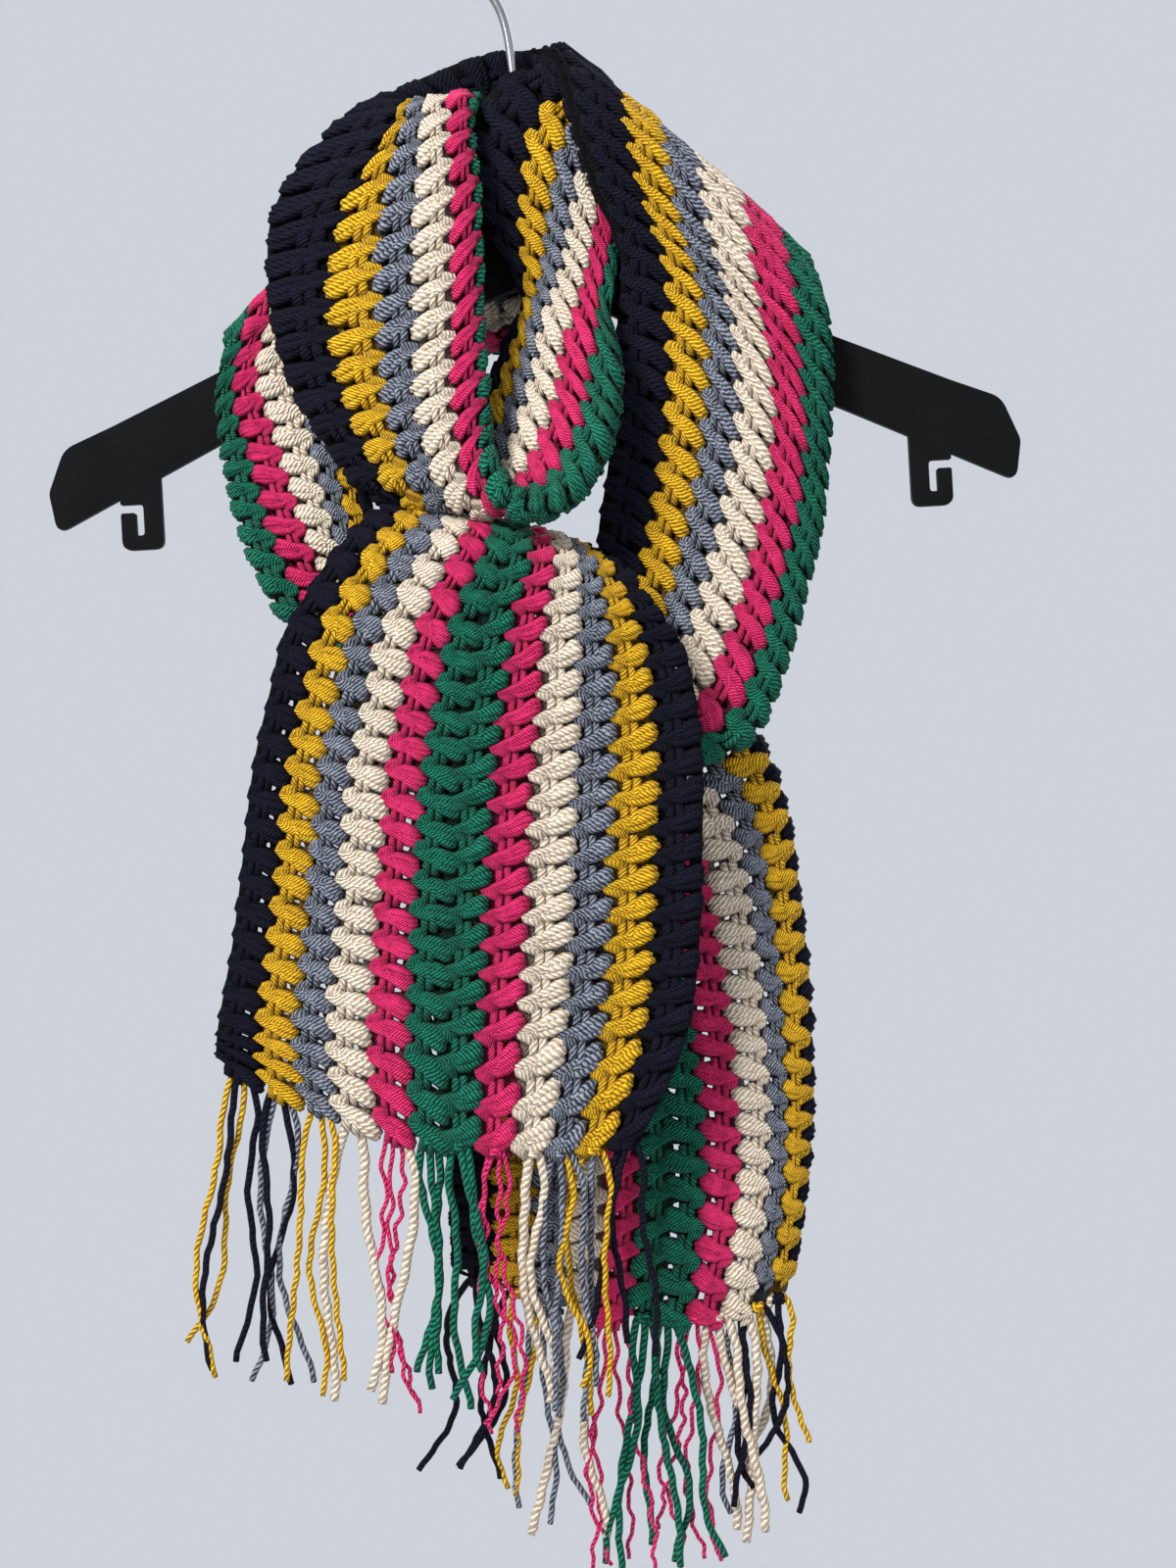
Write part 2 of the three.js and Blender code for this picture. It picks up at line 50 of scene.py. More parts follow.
LAYER = 3.5              # middle of one layer to the middle of the folded scarf
PITCH = 12.7             # one stitch to the next along the scarf
POST = 0.42              # where the post stands across its row
STATIONS = 20            # stations between two sections
USUAL_ROW = 18.5         # the width of a row that a stitch is drawn for

# The back end's rolled edge: where across the cloth it starts, its radius, how far round it turns in
# radians, over what width the flat cloth before it closes up, and where across that starts and ends
ROLL = {"from": 197, "radius": 7, "most": 2.9, "closing": 34, "closed": 0.82, "reach": 0.965}

# Small moves of the folded strip, as (section, amount) pairs
FOLD_SHIFT = ((26, 0), (31, 12), (38, 12), (41, 0))    # the fold creeps into the green row
BUNCH = ((33, 0), (34, 0.2), (36, 1), (39, 1), (42, 0))    # how far the rows bunch up beside the navy
BUNCHED = (0, 52, 57, 66, 81, 101, 111)                # where the seams lie when fully bunched
EDGE = ((14, 0), (16, 6), (20, 6), (23, 0), (42, 0), (45, 4), (52, 4), (55, 0))    # navy edge spreads

rng = np.random.default_rng(11)

# Twelve rows of crochet, two of each yarn: the row's width, the yarn's radius, the strands in a
# finger, the plies round a strand and the radius of a loose end
ROWS = [
    {"yarn": "navy", "width": 20, "radius": 1.75, "fingers": 3, "plies": 5, "end": 1.6},
    {"yarn": "gold", "width": 19, "radius": 1.6, "fingers": 3, "plies": 5, "end": 1.4},
    {"yarn": "grey", "width": 16, "radius": 1.6, "fingers": 3, "plies": 4, "end": 1.5},
    {"yarn": "cream", "width": 20, "radius": 1.75, "fingers": 3, "plies": 4, "end": 2.2},
    {"yarn": "pink", "width": 19, "radius": 1.4, "fingers": 4, "plies": 6, "end": 1.05},
    {"yarn": "green", "width": 17, "radius": 1.6, "fingers": 3, "plies": 5, "end": 1.8},
]
YARNS = [row["yarn"] for row in ROWS]
ALL_ROWS = ROWS + ROWS[::-1]
SEAMS = np.concatenate([[0], np.cumsum([row["width"] for row in ALL_ROWS])]).astype(float)
OUTER, HALF, FULL = SEAMS[3], SEAMS[6], SEAMS[12]    # middle of a folded side, fold, far edge

# ---- where the cloth runs -----------------------------------------------------------------------
# One section a line, from the hanger's shoulder peak. Folded: navy edges, the seam between grey and
# cream, green fold. Open: left navy edge, green middle, right navy edge.
LEFT_WRAP = [
    (4, -11, -178, -23, -12, -195, -57, -11, -212),
    (-23, -11, -170, -45, -12, -182, -81, -11, -199),
    (-45, -11, -160, -64, -12, -170, -100, -11, -182),
    (-60, -11, -148, -76, -12, -155, -110, -11, -164),
    (-64, -11, -131, -82, -12, -138, -117, -11, -147),
    (-61, -11, -108, -87, -12, -118, -122, -11, -130),
    (-53, -11, -81, -92, -12, -94, -126, -11, -112),
    (-46, -11, -49, -99, -12, -68, -130, -11, -92),
    (-41, -11, -25, -95, -11, -44, -131, -11, -75),
    (-36, -10, -2, -86, -10, -23, -124, -9, -57),
    (-32, -2, 9, -75, 0, -12, -111, 1, -43),
    (-26, 6, 11, -63, 9, -19, -90, 11, -43),
]
NECK_BACK_INNER = [
    (-17, 10, 11, -42, 12, -27, -63, 17, -47),
    (-8, 12, 12, -20, 13, -31, -31, 21, -51),
    (0, 12, 14, 0, 13, -34, 1, 22, -51),
]
LOOP_RIGHT = [
    (9, 12, 41, 22, 13, -7, 30, 17, -40),
    (14, 6, 60, 35, 7, 26, 52, 9, -9),
    (13, -3, 63, 37, -1, 34, 54, 2, -1),
    (6, -10, 61, 35, -9, 32, 52, -5, -2),
    (-6, -13, 48, 30, -14, 18, 47, -11, -10),
    (-10, -13, 24, 27, -15, -4, 43, -16, -25),
    (-10, -12, -1, 25, -15, -21, 44, -26, -47),
    (4, -8, -28, 21, -16, -39, 47, -34, -68),
    (14, -6, -36, 18, -17, -48, 47, -38, -85),
    (0, -8, -63, 14, -19, -71, 44, -43, -102),
    (-8, -10, -74, 11, -20, -82, 39, -47, -116),
    (-19, -11, -95, 4, -23, -105, 27, -53, -133),
]
LOOP_LEFT = [
    (-33, -14, -115, -4, -27, -126, 10, -55, -139),
    (-49, -18, -126, -17, -33, -135, -3, -50, -130),
    (-64, -23, -123, -31, -37, -129, -10, -43, -115),
    (-78, -25, -110, -40, -38, -109, -13, -39, -98),
    (-94, -25, -87, -46, -37, -85, -15, -37, -73),
    (-104, -24, -61, -47, -36, -58, -16, -35, -45),
    (-108, -24, -32, -48, -35, -28, -17, -34, -16),
    (-107, -22, -6, -48, -33, 1, -19, -31, 11),
    (-98, -19, 14, -49, -29, 22, -22, -27, 31),
    (-84, -14, 31, -48, -24, 36, -22, -25, 42),
    (-70, -8, 45, -45, -13, 45, -20, -11, 51),
    (-55, -1, 57, -38, -2, 45, -18, 5, 42),
    (-39, 7, 68, -28, 9, 49, -12, 14, 40),
    (-21, 15, 78, -13, 18, 51, -1, 21, 34),
]
NECK_BACK_OUTER = [
    (-1, 21, 84, 5, 24, 50, 14, 26, 22),
    (8, 17, 83, 26, 25, 41, 39, 28, 3),
]
RIGHT_WRAP = [
    (16, 9, 79, 47, 20, 34, 68, 25, -10),
    (22, -1, 74, 68, 12, 32, 102, 19, -11),
    (28, -14, 61, 80, 1, 27, 128, 8, -15),
    (32, -23, 42, 83, -10, 14, 137, -3, -31),
    (40, -27, 14, 89, -16, -15, 142, -13, -56),
    (53, -22, -21, 98, -17, -45, 143, -14, -92),
    (53, -15, -50, 102, -17, -75, 141, -14, -119),
    (52, -14, -79, 101, -17, -104, 138, -15, -142),
    (49, -14, -113, 96, -17, -133, 132, -17, -166),
    (44, -15, -146, 88, -20, -167, 124, -21, -193),
    (42, -18, -167, 81, -24, -188, 117, -25, -213),
    (36, -24, -184, 70, -30, -211, 104, -30, -238),
    (20, -29, -192, 46, -33, -224, 73, -32, -250),
]
KNOT = [
    (-9, -31, -199, 7, -33, -227, 20, -32, -254),
    (-35, -31, -206, -26, -33, -229, -17, -32, -254),
    (-55, -29, -212, -51, -31, -233, -42, -30, -255),
    (-69, -24, -218, -66, -26, -237, -62, -25, -256),
    (-75, -14, -221, -74, -15, -240, -71, -14, -258),
    (-68, -4, -217, -65, -4, -237, -59, -3, -258),
    (-55, 2, -210, -46, 4, -230, -33, 5, -254),
    (-42, 4, -196, -27, 6, -214, -6, 6, -234),
    (-37, 5, -180, -12, 7, -192, 17, 6, -205),
]
FRONT_PANEL = [
    (-38, 5, -165, -3, 6, -172, 25, 5, -176),
    (-42, -1, -149, -1, 0, -155, 32, 0, -163),
    (-51, -13, -138, 0, -14, -145, 35, -12, -155),
    (-59, -27, -137, 1, -30, -146, 41, -26, -159),
    (-68, -41, -147, 1, -44, -153, 53, -39, -168),
    (-76, -48, -156, -1, -52, -162, 60, -46, -177),
    (-87, -50, -173, -7, -54, -176, 68, -50, -186),
    (-99, -49, -193, -13, -53, -195, 76, -50, -197),
    (-105, -47, -217, -17, -50, -219, 82, -49, -217),
    (-113, -44, -251, -22, -47, -251, 86, -46, -250),
    (-118, -41, -290, -25, -44, -291, 86, -43, -290),
    (-123, -39, -330, -27, -42, -330, 85, -41, -330),
    (-130, -37, -369, -29, -40, -374, 79, -39, -373),
    (-131, -37, -382, -28, -39, -420, 59, -38, -419),
]
BACK_PANEL = [
    (-24, -4, -226, 8, -12, -232, 70, -10, -196),
    (-30, -6, -260, 26, -13, -263, 100, -10, -222),
    (-37, -6, -291, 51, -12, -296, 121, -8, -260),
    (-37, -6, -341, 61, -10, -343, 131, -4, -318),
    (-32, -5, -395, 69, -8, -395, 135, -1, -386),
    (-29, -4, -445, 72, -6, -447, 134, 1, -436),
    (-27, -4, -484, 66, -5, -505, 127, 3, -495),
]


# ---- surfaces -----------------------------------------------------------------------------------
def unit(vectors):
    """The same directions, each one long."""
    return vectors / np.maximum(np.linalg.norm(vectors, axis=-1, keepdims=True), 1e-9)


def rail(points, knots):
    """A smooth curve through points, at fractional point numbers."""
    ends = np.vstack([2 * points[0] - points[1], points, 2 * points[-1] - points[-2]])
    start = np.minimum(knots.astype(int), len(points) - 2)
    share = (knots - start)[:, None]
    a, b, c, d = (ends[start + k] for k in range(4))
    ab, bc, cd = (
        np.sqrt(np.maximum(np.linalg.norm(p - q, axis=1, keepdims=True), 1e-6))
        for p, q in ((a, b), (b, c), (c, d))
    )
    leave = ((b - a) / ab - (c - a) / (ab + bc) + (c - b) / bc) * bc
    arrive = ((c - b) / bc - (d - b) / (bc + cd) + (d - c) / cd) * bc
    square = -3 * b + 3 * c - 2 * leave - arrive
    return b + share * leave + share**2 * square + share**3 * (2 * b - 2 * c + leave + arrive)


class Cloth:
    """A run of sections: `s` is the millimetres along it, `x` the millimetres across it, flat."""

    def __init__(self, sections, folded, rolled=False, fold=((0, 0),), bunch=((0, 0),), edge=((0, 0),)):
        points = np.array(sections, float).reshape(-1, 3, 3)
        self.folded, self.rolled = folded, rolled
        self.knots = np.linspace(0, len(points) - 1, STATIONS * (len(points) - 1) + 1)
        self.rails = np.stack([rail(points[:, k], self.knots) for k in range(3)], axis=1)
        steps = np.linalg.norm(np.diff(self.rails, axis=0), axis=2).mean(axis=1)
        self.lengths = np.concatenate([[0], np.cumsum(steps)])
        self.length = self.lengths[-1]
        self.fold = np.interp(self.knots, *zip(*fold)) + HALF
        self.bunch = np.interp(self.knots, *zip(*bunch))
        self.edge = np.interp(self.knots, *zip(*edge))

    def length_at(self, section):
        """Millimetres along the run at a section's number."""
        return float(np.interp(section, self.knots, self.lengths))

    def rails_at(self, s):
        """The three rails' points, carried straight on past either end."""
        place = np.interp(s, self.lengths, np.arange(len(self.lengths)))
        low = np.minimum(place.astype(int), len(self.lengths) - 2)
        share = (place - low)[:, None, None]
        past = np.where(s > self.length, s - self.length, np.minimum(s, 0))[:, None, None]
        ahead = unit(self.rails[low + 1] - self.rails[low])
        return self.rails[low] * (1 - share) + self.rails[low + 1] * share + ahead * past

    def point(self, s, across):
        """The middle of the cloth on a parabola through the rails; across runs from 0 to 1."""
        rails = self.rails_at(s)
        q = across[:, None]
        first, middle, last = rails[:, 0], rails[:, 1], rails[:, 2]
        return first * (1 - q) * (1 - 2 * q) + middle * 4 * q * (1 - q) + last * q * (2 * q - 1)

    def frame(self, s, across):
        """Directions along the cloth, across it and out of its right side."""
        onward = unit(self.point(s + 1.5, across) - self.point(s - 1.5, across))
        sideways = unit(self.point(s, across + 0.02) - self.point(s, across - 0.02))
        return onward, sideways, unit(np.cross(onward, sideways))

    def place(self, s, x, height):
        """Points in space from flat ones; height is above the right side of the cloth."""
        if self.rolled:
            return self.place_rolled(self.length - s, FULL - x, height)
        if not self.folded:
            across = x / FULL
            out = self.frame(s, across)[2]
            return self.point(s, across) + out * height[:, None]
        fold = np.interp(s, self.lengths, self.fold)
        near = np.where(x <= fold, x * HALF / fold, (FULL - x) * HALF / (FULL - fold))
        side = np.where(x <= fold, 1.0, -1.0)
        near += np.interp(s, self.lengths, self.bunch) * (np.interp(near, SEAMS[:7], BUNCHED) - near)
        near -= np.interp(s, self.lengths, self.edge) * np.maximum(1 - near / SEAMS[1], 0)
        rails = self.rails_at(s)
        inner = np.linalg.norm(rails[:, 2] - rails[:, 1], axis=1)
        bend = LAYER * math.pi / 2
        travel = (near - OUTER) / (HALF - OUTER) * (inner + bend)
        across = np.where(near <= OUTER, 0.5 * near / OUTER, 0.5 + 0.5 * np.minimum(travel / inner, 1))
        turn = np.clip((travel - inner) / LAYER, 0, math.pi / 2)
        turn = np.where(near <= OUTER, 0.0, turn)[:, None]
        _, sideways, out = self.frame(s, across)
        normal = side[:, None] * np.cos(turn) * out + np.sin(turn) * sideways
        return self.point(s, across) + normal * (LAYER + height[:, None])

    def place_rolled(self, s, x, height):
        """The back end, worked from its hem up, with its right edge rolled to the back."""
        marks = [0, HALF, ROLL["from"] - ROLL["closing"], ROLL["from"]]
        across = np.interp(x, marks, [0, 0.5, ROLL["closed"], ROLL["reach"]])
        across = np.where(x < 0, x / FULL, across)
        _, sideways, out = self.frame(s, across)
        past = np.maximum(x - ROLL["from"], 0)[:, None]
        turn = np.minimum(past / ROLL["radius"], ROLL["most"])
        rest = past - turn * ROLL["radius"]
        over, back = np.cos(turn), np.sin(turn)
        edge = sideways * back * ROLL["radius"] - out * (1 - over) * ROLL["radius"]
        edge = edge + (sideways * over - out * back) * rest
        return self.point(s, across) + edge + (out * over + sideways * back) * height[:, None]


# ---- one stitch of each yarn --------------------------------------------------------------------
# A stitch lies flat round its post: x across the row, y along the scarf, z above the cloth.
FINGER = 3.4             # middle of a finger from the middle of its stitch
REACH = 13.3             # from the post to the tip of a finger
CURLS = (1.0, 0.62, 0.3, 0.16)    # how far round the bud each strand of a finger goes
TWIST_SLIDE = 20         # how far the yarn's twist may be shifted along a strand


def strand(path, sides, up=(0.0, 0.0, 1.0)):
    """A closed tube through rows of (x, y, z, radius): vertices, faces and yarn coordinates."""
    path = np.array(path, float)
    centres, radii = path[:, :3], path[:, 3]
    ahead = unit(np.gradient(centres, axis=0))
    level = unit(np.cross(ahead, np.array(up)) + 1e-6)
    raised = np.cross(level, ahead)
    angles = 2 * math.pi * np.arange(sides) / sides
    ring = np.cos(angles)[:, None] * level[:, None] + np.sin(angles)[:, None] * raised[:, None]
    points = (centres[:, None] + ring * radii[:, None, None]).reshape(-1, 3)
    run = np.concatenate([[0], np.cumsum(np.linalg.norm(np.diff(centres, axis=0), axis=1))])
    faces, coords = [], []
    for i in range(len(path) - 1):
        for k in range(sides):
            n = (k + 1) % sides
            faces.append((i * sides + k, i * sides + n, (i + 1) * sides + n, (i + 1) * sides + k))
            coords += [(k / sides, run[i]), ((k + 1) / sides, run[i]),
                       ((k + 1) / sides, run[i + 1]), (k / sides, run[i + 1])]
    last = (len(path) - 1) * sides
    for cap, at in ((range(sides)[::-1], run[0]), (range(last, last + sides), run[-1])):
        faces.append(tuple(cap))
        coords += [(0.5, at)] * sides
    return points, faces, coords


def gathered(tubes, random):
    """Several tubes as one set, the yarn's twist in each starting at its own place."""
    points, faces, coords, start = [], [], [], 0
    for tube_points, tube_faces, tube_coords in tubes:
        points.append(tube_points)
        faces += [tuple(v + start for v in face) for face in tube_faces]
        slide, turn = random.uniform(0, TWIST_SLIDE), random.uniform(0, 1)
        coords += [(u + turn, v + slide) for u, v in tube_coords]
        start += len(tube_points)
    return np.vstack(points), faces, np.array(coords)


def stitch(radius, fingers, random, over):
    """The strands of one stitch, in millimetres across the row, along it and above it.

    Each strand curls round the bud, crosses the post and spreads into a finger; the post goes on
    to the next stitch. With over=1 buds lie over the fingers beside them, with over=-1 under.
    """
    tubes = []
    bud, tip_height = (1.95, 0.3) if over > 0 else (1.6, 1.0)
    squeeze, jut = (1.0, 0.0) if over > 0 else (0.62, 1.9)
    spacing = 1.72 * radius * (3 / fingers) ** 0.45
    for j in range(fingers):
        curl = CURLS[j]
        off = spacing * ((fingers - 1) / 2 - j)
        lift, sag = random.normal(0, 0.25, 2)
        crown = 0.7 * (1 - abs(2 * j / (fingers - 1) - 1))
        reach = REACH - 0.5 * jut - 0.5 * abs(j - (fingers - 1) / 2) ** 1.5 + random.normal(0, 0.35)
        path = [    # under the post, three points round the bud, over the post, out to the finger's tip
            (-0.6, -2.8 - 3.4 * curl, bud - 0.5, 1.0),
            (-3.8 - 3.4 * curl - 0.8 * jut, -2.9 - 1.8 * curl, bud, 1.25),
            (-4.2 - 4.0 * curl - jut, -2.6 + 0.2 * curl, bud, 1.25),
            (-2.8 - 2.2 * curl, -2.2 + 2.4 * curl, bud + 0.3, 1.2),
            (0.8, 0.75 * off + sag, 2.1 + lift, 1.2),
            (5.2, 1.7 + 0.97 * off + sag, 2.0 + lift + crown, 1.38),
            (reach - 3.4, FINGER + off, tip_height + 1.0 + lift + crown, 1.45),
            (reach - 1.3, FINGER + 0.2 + 0.97 * off, tip_height + 0.3, 1.3),
            (reach - 0.5, FINGER + 0.3 + 0.85 * off, tip_height - 1.4, 0.9),
        ]
        path = [
            (x, y * squeeze + 0.8 - 0.8 * squeeze, z, radius * share * squeeze ** 0.4) if x < -2.5
            else (x, y, z, radius * share) for x, y, z, share in path
        ]
        tubes.append(strand(path, 6 if j == 0 else 5))
    # the two strands of the post, and two bars behind it
    tubes.append(strand([
        (-0.6, -1.0, 2.4, radius * 0.8), (2.3, 1.8, 2.4, radius * 1.15),
        (2.4, 5.0, 1.6, radius * 1.35), (2.0, PITCH - 4.0, 0.9, radius * 1.3),
    ], 6))
    tubes.append(strand([
        (-1.8, 1.6, 1.3, radius * 1.2), (-1.8, 4.6, 1.2, radius * 1.5),
        (-1.6, PITCH - 5.0, 0.9, radius * 1.45),
    ], 5))
    for shift in (-1.2, 2.2):
        bar = [(-7.5, shift - 1.5, -1.3, radius * 0.9), (9.5, shift + 1.5, -1.3, radius * 0.9)]
        tubes.append(strand(bar, 4))
    points, faces, coords = gathered(tubes, random)
    if over < 0:    # worked the other way: mirrored, with each face turned round to point outwards
        points[:, 1] *= -1
        flipped, at = [], 0
        for face in faces:
            flipped.append(coords[at:at + len(face)][::-1])
            at += len(face)
        faces, coords = [face[::-1] for face in faces], np.vstack(flipped)
    return points, faces, coords


def reverse_stitch(radius, random):
    """What shows of a stitch on the wrong side: two slanting bars and the post beside them."""
    tubes = []
    for shift in (-2.6, 1.8):
        low = 2.9 + random.normal(0, 0.2)
        tubes.append(strand([
            (-8.8, shift - 2.6, -1.7, radius * 0.9), (-2.6, shift - 1.2, -low, radius * 1.25),
            (3.8, shift + 1.1, -low, radius * 1.3), (10.4, shift + 2.6, -1.7, radius * 0.9),
        ], 5))
    tubes.append(strand([
        (2.2, 1.0, -3.3, radius * 0.8), (0.4, 4.4, -2.9, radius * 1.1),
        (-1.6, PITCH - 4.0, -2.6, radius),
    ], 5))
    return gathered(tubes, random)


VARIANTS = 7             # stitches made of each kind, one of which is picked for each place
EDGE_ROOM, EDGE_SHARE = 1.0, 0.6    # past this far inside an open edge, a stitch reaches less far
ROW_HOLD, ROW_GIVE = 0.45, 0.55    # shares of a stitch's reach: fixed, and following its row's width
UNEVEN = {"tilt": 0.05, "reach": 0.03, "place": 0.45, "height": 0.05}    # how hand work varies
GROUND_HEIGHT = -0.6
GROUND_THICKNESS = 1.0
GROUND_UNEVEN = 0.7      # how far a corner of the ground strays
GROUND_TURN = 9          # millimetres of ground to one turn of the yarn's twist
HOLE = {"across": (4.2, 6.8), "along": (7.2, 9.5)}    # a hole's edges, from its post and its stitch
SHADE_FROM, SHADE_OVER = -1.2, 5.4    # above this height, and over this much, shade gives way to light
OPEN_HEIGHT = 3.6        # the height that loose ends count as having, leaving them almost free of painted shade
PATTERNS = {
    (row["yarn"], over): [stitch(row["radius"], row["fingers"], rng, over) for _ in range(VARIANTS)]
    for row in ROWS for over in (1, -1)
}
REVERSES = {row["yarn"]: [reverse_stitch(row["radius"], rng) for _ in range(VARIANTS)] for row in ROWS}
# How far along each row's first stitch lies; the half worked the other way is shifted as a whole
ROW_SLIDE = rng.uniform(-0.7, 0.7, 12) + np.repeat([0.0, PITCH / 2 + 2 * FINGER - 0.9], 6)


class Heap:
    """Collects faces of many strands into one mesh with a yarn to each face."""

    def __init__(self):
        self.points, self.corners, self.sizes, self.coords = [], [], [], []
        self.yarns, self.heights = [], []
        self.count = 0

    def add(self, points, faces, coords, yarn, heights=OPEN_HEIGHT):
        self.points.append(points)
        self.heights.append(np.zeros(len(points)) + heights)
        self.corners.append(np.concatenate([np.array(face) for face in faces]) + self.count)
        self.sizes.append(np.array([len(face) for face in faces]))
        self.coords.append(np.array(coords))
        self.yarns.append(np.full(len(faces), YARNS.index(yarn)))
        self.count += len(points)

    def mesh(self, name, materials):
        points = np.vstack(self.points)
        corners, sizes = np.concatenate(self.corners), np.concatenate(self.sizes)
        mesh = bpy.data.meshes.new(name)
        mesh.vertices.add(len(points))
        mesh.vertices.foreach_set("co", points.astype(np.float32).ravel())
        mesh.loops.add(len(corners))
        mesh.loops.foreach_set("vertex_index", corners.astype(np.int32))
        mesh.polygons.add(len(sizes))
        starts = np.concatenate([[0], np.cumsum(sizes)[:-1]])
        mesh.polygons.foreach_set("loop_start", starts.astype(np.int32))
        for material in materials:
            mesh.materials.append(material)
        mesh.polygons.foreach_set("material_index", np.concatenate(self.yarns).astype(np.int32))
        mesh.update(calc_edges=True)
        layer = mesh.uv_layers.new(name="yarn")
        layer.data.foreach_set("uv", np.vstack(self.coords).astype(np.float32).ravel())
        # painted shade: each point's height above the cloth, as a share from deep shade to full colour
        painted_shade_openness = mesh.attributes.new("painted_shade_openness", "FLOAT", "POINT")
        rise = (np.concatenate(self.heights) - SHADE_FROM) / SHADE_OVER
        painted_shade_openness.data.foreach_set("value", np.clip(rise, 0, 1))
        mesh.shade_smooth()
        piece = bpy.data.objects.new(name, mesh)
        bpy.context.scene.collection.objects.link(piece)
        return piece


def crochet(name, cloth, start, stop):
    """All the stitches of a stretch of cloth, row by row, as one piece."""
    heap = Heap()
    for number, row in enumerate(ALL_ROWS):
        over = 1 if number < 6 else -1
        slide = ROW_SLIDE[number]
        first, last = math.ceil((start - slide) / PITCH), math.ceil((stop - slide) / PITCH)
        post = SEAMS[number] + row["width"] * POST
        stretch = ROW_HOLD + ROW_GIVE * row["width"] / USUAL_ROW
        kinds = [PATTERNS[row["yarn"], over]] + ([] if cloth.folded else [REVERSES[row["yarn"]]])
        for place in np.arange(first, last) * PITCH + slide:
            for kind in kinds:
                points, faces, coords = kind[rng.integers(0, VARIANTS)]
                tilt = rng.normal(0, UNEVEN["tilt"])
                reach = 1 + rng.normal(0, UNEVEN["reach"])
                x = post + (points[:, 0] * reach - points[:, 1] * tilt) * stretch
                held = np.clip(x, EDGE_ROOM, FULL - EDGE_ROOM)
                x = held + (x - held) * EDGE_SHARE
                y = place + rng.normal(0, UNEVEN["place"]) + points[:, 1] + points[:, 0] * tilt
                placed = cloth.place(y, x, points[:, 2] * (1 + rng.normal(0, UNEVEN["height"])))
                shift = (rng.uniform(0, 1), rng.uniform(0, TWIST_SLIDE))
                # each point's height above the cloth sets its painted shade
                heap.add(to_part(placed), faces, coords + shift, row["yarn"], np.abs(points[:, 2]))
    return heap.mesh(name, FINISHES)


def ground(name, cloth, start, stop):
    """The thin cloth behind the stitches of a stretch, with the small holes beside the posts, in its
    row's yarn darkened by painted shade.
    """
    heap = Heap()
    for number, row in enumerate(ALL_ROWS):
        seam, width = SEAMS[number], row["width"]
        post = width * POST
        near, far = HOLE["across"]
        columns = seam + np.array([0, post / 2, post + near, post + far, width])
        slide = ROW_SLIDE[number]
        sides = HOLE["along"] if number < 6 else [-side for side in HOLE["along"]][::-1]
        first, last = math.floor((start - slide) / PITCH) - 1, math.ceil((stop - slide) / PITCH) + 1
        lines = [
            i * PITCH + slide + side for i in range(first, last + 1) for side in (*sides, sides[0] - 4)
        ]
        marks = sorted({max(start, min(stop, line)) for line in lines})
        grid_s, grid_x = np.meshgrid(marks, columns, indexing="ij")
        uneven = rng.uniform(-GROUND_UNEVEN, GROUND_UNEVEN, (2, *grid_s.shape))
        uneven[:, [0, -1]] = 0      # the ends and both edges stay on their seams
        uneven[:, :, [0, -1]] = 0
        spots = (grid_s + uneven[0]).ravel(), (grid_x + uneven[1]).ravel()
        points = cloth.place(*spots, np.full(grid_s.size, GROUND_HEIGHT))
        faces, coords = [], []
        for i in range(len(marks) - 1):
            middle = ((marks[i] + marks[i + 1]) / 2 - slide - sides[0]) % PITCH
            between = middle < sides[1] - sides[0]
            for k in range(len(columns) - 1):
                if between and k == 2:
                    continue
                a = i * len(columns) + k
                corners = (a, a + 1, a + 1 + len(columns), a + len(columns))
                faces.append(corners[::-1])
                coords += [(grid_s.flat[c] / GROUND_TURN, grid_x.flat[c]) for c in corners[::-1]]
        # the ground lies low, so its yarn takes deep painted shade
        heap.add(to_part(points), faces, coords, row["yarn"], np.full(len(points), GROUND_HEIGHT))
    piece = heap.mesh(name, FINISHES)
    bpy.ops.object.select_all(action="DESELECT")
    piece.select_set(True)
    bpy.context.view_layer.objects.active = piece
    bpy.ops.object.mode_set(mode="EDIT")
    bpy.ops.mesh.select_all(action="SELECT")
    bpy.ops.mesh.remove_doubles(threshold=0.00002)
    bpy.ops.object.mode_set(mode="OBJECT")
    solid = piece.modifiers.new("thickness", "SOLIDIFY")
    solid.thickness = GROUND_THICKNESS / 1000
    solid.offset = 0
    bpy.ops.object.modifier_apply(modifier=solid.name)
    return piece


def to_part(points):
    """From the hanger's peak in millimetres to the part's origin in metres."""
    return (points - np.array([0, 0, HOOK_RISE])) / 1000


# ---- materials ----------------------------------------------------------------------------------
class Value:
    """A socket whose arithmetic adds Math nodes."""

    def __init__(self, paint, socket):
        self.paint, self.socket = paint, socket

    def math(self, operation, *others, swap=False):
        terms = [self, *others]
        if swap:
            terms.reverse()
        return self.paint.node("ShaderNodeMath", {"operation": operation}, *terms)

    def __add__(self, other):
        return self.math("ADD", other)

    def __sub__(self, other):
        return self.math("SUBTRACT", other)

    def __rsub__(self, other):
        return self.math("SUBTRACT", other, swap=True)

    def __mul__(self, other):
        return self.math("MULTIPLY", other)

    def __pow__(self, other):
        return self.math("POWER", other)

    __radd__, __rmul__ = __add__, __mul__

    def sine(self):
        return self.math("SINE")


